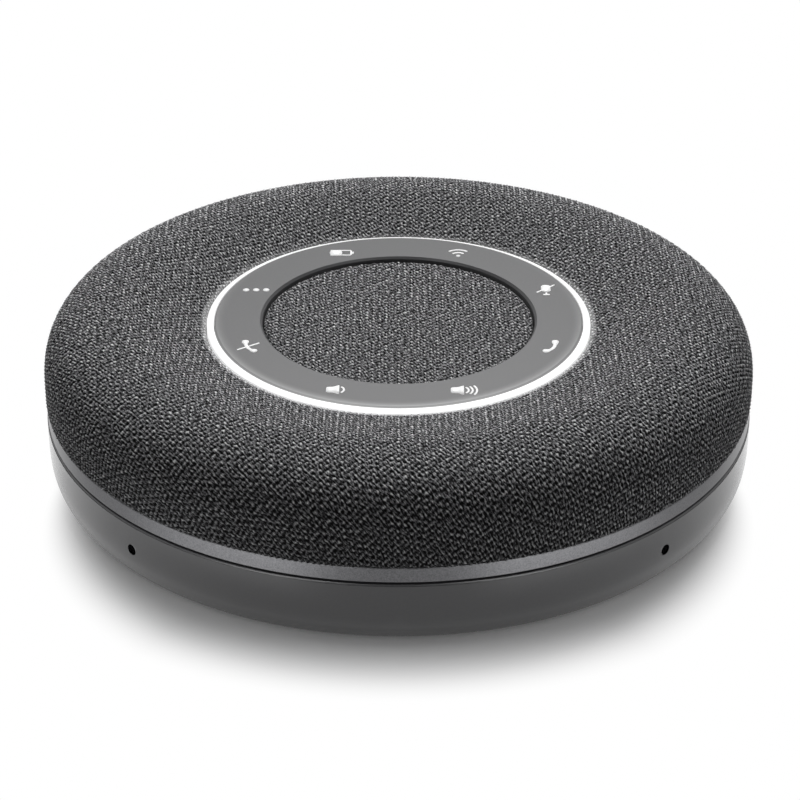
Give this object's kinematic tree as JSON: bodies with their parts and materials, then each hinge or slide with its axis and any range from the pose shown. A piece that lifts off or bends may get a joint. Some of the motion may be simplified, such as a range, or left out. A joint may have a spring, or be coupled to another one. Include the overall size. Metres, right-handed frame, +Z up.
{
  "type": "conference speakerphone",
  "caption": "Round low table speakerphone with a knitted fabric dome, a lit ring of touch keys, a metal trim band and a tapered base with microphone holes.",
  "frame": {"origin": "on the table, under the centre of the round body", "axes": "+Z up along the axis of the body, -Y towards the front, +Y towards the rear wall with the socket and the power button"},
  "size_m": [0.132, 0.132, 0.032],
  "materials": {
    "knit_fabric": "charcoal melange knit",
    "base_plastic": "satin moulded",
    "trim_metal": "fine bead-blasted, anodised grey",
    "ring_plastic": "satin painted",
    "light_plastic": "translucent diffuser",
    "black_plastic": "moulded",
    "soft_rubber": "matt",
    "foam": "closed-cell foam",
    "screw_steel": "zinc plated",
    "magnet_ferrite": "sintered",
    "coil_copper": "enamelled wire",
    "cone_paper": "pressed pulp",
    "spider_cloth": "resin-dipped cloth",
    "circuit_board": "solder mask",
    "chip_plastic": "moulded epoxy",
    "connector_plastic": "moulded nylon",
    "battery_foil": "laminated foil",
    "wire_jacket": "extruded"
  },
  "bodies": {
    "housing": {"foot_ring": "soft_rubber", "base_shell": "base_plastic", "base_screws": "screw_steel", "base_gasket": "soft_rubber", "trim_ring": "trim_metal", "grille_dome": "black_plastic", "dome_fabric": "knit_fabric", "light_ring": "light_plastic", "control_ring": "ring_plastic", "touch_pads": "foam", "ring_leds": "connector_plastic", "ring_board": "circuit_board", "centre_grille": "black_plastic", "centre_fabric": "knit_fabric", "inner_chassis": "black_plastic", "dome_screws": "screw_steel", "speaker_basket": "screw_steel", "speaker_gasket": "foam", "speaker_yoke": "screw_steel", "speaker_magnet": "magnet_ferrite", "speaker_plate": "screw_steel", "speaker_surround": "soft_rubber", "speaker_spider": "spider_cloth", "speaker_screws": "screw_steel", "main_board": "circuit_board", "board_screws": "screw_steel", "board_shield": "screw_steel", "board_chips": "chip_plastic", "board_connectors": "connector_plastic", "usb_shell": "screw_steel", "usb_tongue": "chip_plastic", "power_switch": "chip_plastic", "battery_pack": "battery_foil", "battery_pad": "foam", "microphones": "screw_steel", "mic_boards": "circuit_board", "mic_boots": "soft_rubber", "touch_ribbon": "wire_jacket", "speaker_leads": "wire_jacket", "battery_leads": "wire_jacket"},
    "power_key": {"power_button": "base_plastic", "switch_plunger": "connector_plastic"},
    "cone_assembly": {"voice_coil": "coil_copper", "speaker_cone": "cone_paper", "dust_cap": "cone_paper"}
  },
  "joints": [
    {"name": "power_press", "type": "slide", "parent": "housing", "child": "power_key", "axis": [-0.3746, -0.9272, 0], "range_m": [0, 0.0004], "stiffness_N_per_m": 5000},
    {"name": "cone_stroke", "type": "slide", "parent": "housing", "child": "cone_assembly", "axis": [0, 0, 1], "range_m": [-0.0015, 0.0015], "stiffness_N_per_m": 1500, "deforming": ["speaker_surround", "speaker_spider"]}
  ]
}
